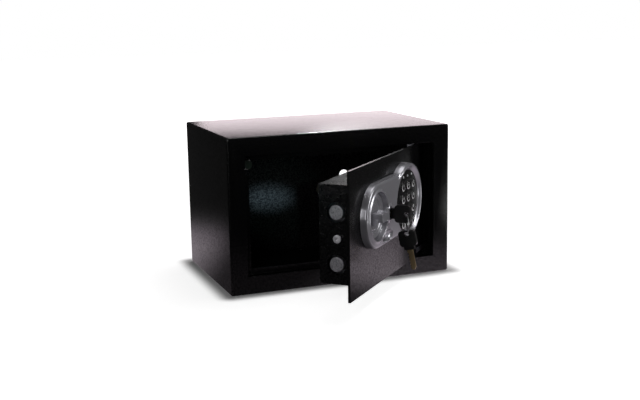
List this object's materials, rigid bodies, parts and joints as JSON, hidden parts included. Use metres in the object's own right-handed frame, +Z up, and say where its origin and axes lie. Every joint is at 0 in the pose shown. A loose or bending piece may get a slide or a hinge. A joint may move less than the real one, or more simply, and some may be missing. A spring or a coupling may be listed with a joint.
{
  "type": "portable car safe",
  "caption": "Small electronic steel safe with a concealed-hinge door, turning knob, round keypad and key lock, its round bolts driven by the knob.",
  "frame": {"origin": "middle of the underside of the body", "axes": "+Z up, -Y out of the front, +X to the right seen from the front, on the hinge side of the door"},
  "size_m": [0.306, 0.3546, 0.2],
  "materials": {
    "powder_black": "black powder coat with a fine orange-peel texture, semi-gloss",
    "zinc_steel": "bright zinc-plated steel, finely turned",
    "dark_steel": "dull rolled steel",
    "silver_plastic": "silver metallic moulding, satin",
    "black_plastic": "black moulding, satin",
    "key_plastic": "black moulding, soft sheen",
    "soft_rubber": "dark silicone rubber",
    "board_green": "green circuit board",
    "lamp_clear": "clear moulded lamp",
    "brass_yellow": "nickel-brass, lightly worn",
    "chrome_bright": "bright split-ring wire",
    "cell_wrap": "plain shrink sleeve",
    "button_red": "red push button",
    "plate_grey": "blank satin metal plate"
  },
  "bodies": {
    "safe": {"body_shell": "powder_black", "back_panel": "powder_black", "door_surround": "powder_black"},
    "door": {"door_plate": "powder_black", "hinge_pin_bottom": "zinc_steel", "hinge_pin_top": "zinc_steel", "hinge_block_bottom": "dark_steel", "hinge_block_top": "dark_steel", "badge_plate": "plate_grey", "control_panel": "silver_plastic", "panel_screw_1": "zinc_steel", "panel_screw_2": "zinc_steel", "panel_screw_3": "zinc_steel", "circuit_board": "board_green", "keypad_mat": "soft_rubber", "keypad_face": "black_plastic", "lamp_1": "lamp_clear", "lamp_2": "lamp_clear", "lamp_3": "lamp_clear", "bolt_guide": "dark_steel", "guide_screw": "zinc_steel", "solenoid": "dark_steel", "plunger_spring": "zinc_steel", "lock_box": "powder_black", "battery_case": "black_plastic", "battery_cell_1": "cell_wrap", "battery_cell_2": "cell_wrap", "battery_cell_3": "cell_wrap", "battery_cell_4": "cell_wrap", "lock_barrel": "dark_steel", "lock_nut": "zinc_steel"},
    "knob": {"knob": "silver_plastic", "knob_shaft": "zinc_steel", "knob_cam": "dark_steel"},
    "bolts": {"bolt_upper": "zinc_steel", "bolt_lower": "zinc_steel", "bolt_carriage": "dark_steel"},
    "plunger": {"solenoid_plunger": "zinc_steel"},
    "lock_core": {"lock_plug": "brass_yellow", "lock_cam": "zinc_steel"},
    "key_1": {"key_1_head": "key_plastic", "key_1_blade": "brass_yellow"},
    "ring": {"key_ring": "chrome_bright"},
    "key_2": {"key_2_head": "key_plastic", "key_2_blade": "brass_yellow"},
    "cover": {"battery_cover": "black_plastic"},
    "reset": {"reset_button": "button_red"},
    "pad_1": {"key_button_1": "key_plastic"},
    "pad_2": {"key_button_2": "key_plastic"},
    "pad_3": {"key_button_3": "key_plastic"},
    "pad_4": {"key_button_4": "key_plastic"},
    "pad_5": {"key_button_5": "key_plastic"},
    "pad_6": {"key_button_6": "key_plastic"},
    "pad_7": {"key_button_7": "key_plastic"},
    "pad_8": {"key_button_8": "key_plastic"},
    "pad_9": {"key_button_9": "key_plastic"},
    "pad_star": {"key_button_star": "key_plastic"},
    "pad_0": {"key_button_0": "key_plastic"},
    "pad_hash": {"key_button_hash": "key_plastic"}
  },
  "joints": [
    {"name": "door_hinge", "type": "hinge", "parent": "safe", "child": "door", "pos_m": [0.102, -0.0915, 0.1], "axis": [0, 0, 1], "range_deg": [-44, 56]},
    {"name": "knob_turn", "type": "hinge", "parent": "door", "child": "knob", "pos_m": [-0.00967, -0.20837, 0.1117], "axis": [0.6947, -0.7193, 0], "range_deg": [0, 90]},
    {"name": "bolts_slide", "type": "slide", "parent": "door", "child": "bolts", "axis": [-0.7193, -0.6947, 0], "range_m": [0, 0.01795]},
    {"name": "plunger_pull", "type": "slide", "parent": "door", "child": "plunger", "axis": [0, 0, 1], "range_m": [-0.004, 0], "stiffness_N_per_m": 100, "springref_m": 0.002, "deforming": ["plunger_spring"]},
    {"name": "key_turn", "type": "hinge", "parent": "door", "child": "lock_core", "pos_m": [0.01659, -0.18302, 0.1087], "axis": [0.6947, -0.7193, 0], "range_deg": [0, 90]},
    {"name": "key_1_withdraw", "type": "slide", "parent": "lock_core", "child": "key_1", "axis": [0.6947, -0.7193, 0], "range_m": [0, 0.03]},
    {"name": "ring_swing", "type": "hinge", "parent": "key_1", "child": "ring", "pos_m": [0.03764, -0.20481, 0.1087], "axis": [0.7193, 0.6947, 0], "range_deg": [-60, 15]},
    {"name": "key_2_swing", "type": "hinge", "parent": "ring", "child": "key_2", "pos_m": [0.03778, -0.20496, 0.08431], "axis": [0.7193, 0.6947, 0], "range_deg": [-60, 20]},
    {"name": "battery_cover_slide", "type": "slide", "parent": "door", "child": "cover", "axis": [-0.7193, -0.6947, 0], "range_m": [0, 0.03]},
    {"name": "reset_press", "type": "slide", "parent": "door", "child": "reset", "axis": [0.6947, -0.7193, 0], "range_m": [0, 0.0015], "stiffness_N_per_m": 300},
    {"name": "key_button_1_press", "type": "slide", "parent": "door", "child": "pad_1", "axis": [-0.6947, 0.7193, 0], "range_m": [0, 0.001], "stiffness_N_per_m": 200},
    {"name": "key_button_2_press", "type": "slide", "parent": "door", "child": "pad_2", "axis": [-0.6947, 0.7193, 0], "range_m": [0, 0.001], "stiffness_N_per_m": 200},
    {"name": "key_button_3_press", "type": "slide", "parent": "door", "child": "pad_3", "axis": [-0.6947, 0.7193, 0], "range_m": [0, 0.001], "stiffness_N_per_m": 200},
    {"name": "key_button_4_press", "type": "slide", "parent": "door", "child": "pad_4", "axis": [-0.6947, 0.7193, 0], "range_m": [0, 0.001], "stiffness_N_per_m": 200},
    {"name": "key_button_5_press", "type": "slide", "parent": "door", "child": "pad_5", "axis": [-0.6947, 0.7193, 0], "range_m": [0, 0.001], "stiffness_N_per_m": 200},
    {"name": "key_button_6_press", "type": "slide", "parent": "door", "child": "pad_6", "axis": [-0.6947, 0.7193, 0], "range_m": [0, 0.001], "stiffness_N_per_m": 200},
    {"name": "key_button_7_press", "type": "slide", "parent": "door", "child": "pad_7", "axis": [-0.6947, 0.7193, 0], "range_m": [0, 0.001], "stiffness_N_per_m": 200},
    {"name": "key_button_8_press", "type": "slide", "parent": "door", "child": "pad_8", "axis": [-0.6947, 0.7193, 0], "range_m": [0, 0.001], "stiffness_N_per_m": 200},
    {"name": "key_button_9_press", "type": "slide", "parent": "door", "child": "pad_9", "axis": [-0.6947, 0.7193, 0], "range_m": [0, 0.001], "stiffness_N_per_m": 200},
    {"name": "key_button_star_press", "type": "slide", "parent": "door", "child": "pad_star", "axis": [-0.6947, 0.7193, 0], "range_m": [0, 0.001], "stiffness_N_per_m": 200},
    {"name": "key_button_0_press", "type": "slide", "parent": "door", "child": "pad_0", "axis": [-0.6947, 0.7193, 0], "range_m": [0, 0.001], "stiffness_N_per_m": 200},
    {"name": "key_button_hash_press", "type": "slide", "parent": "door", "child": "pad_hash", "axis": [-0.6947, 0.7193, 0], "range_m": [0, 0.001], "stiffness_N_per_m": 200}
  ],
  "couplings": [
    {"joint": "knob_turn", "follows": "bolts_slide", "rad_per_m": 87.46}
  ]
}
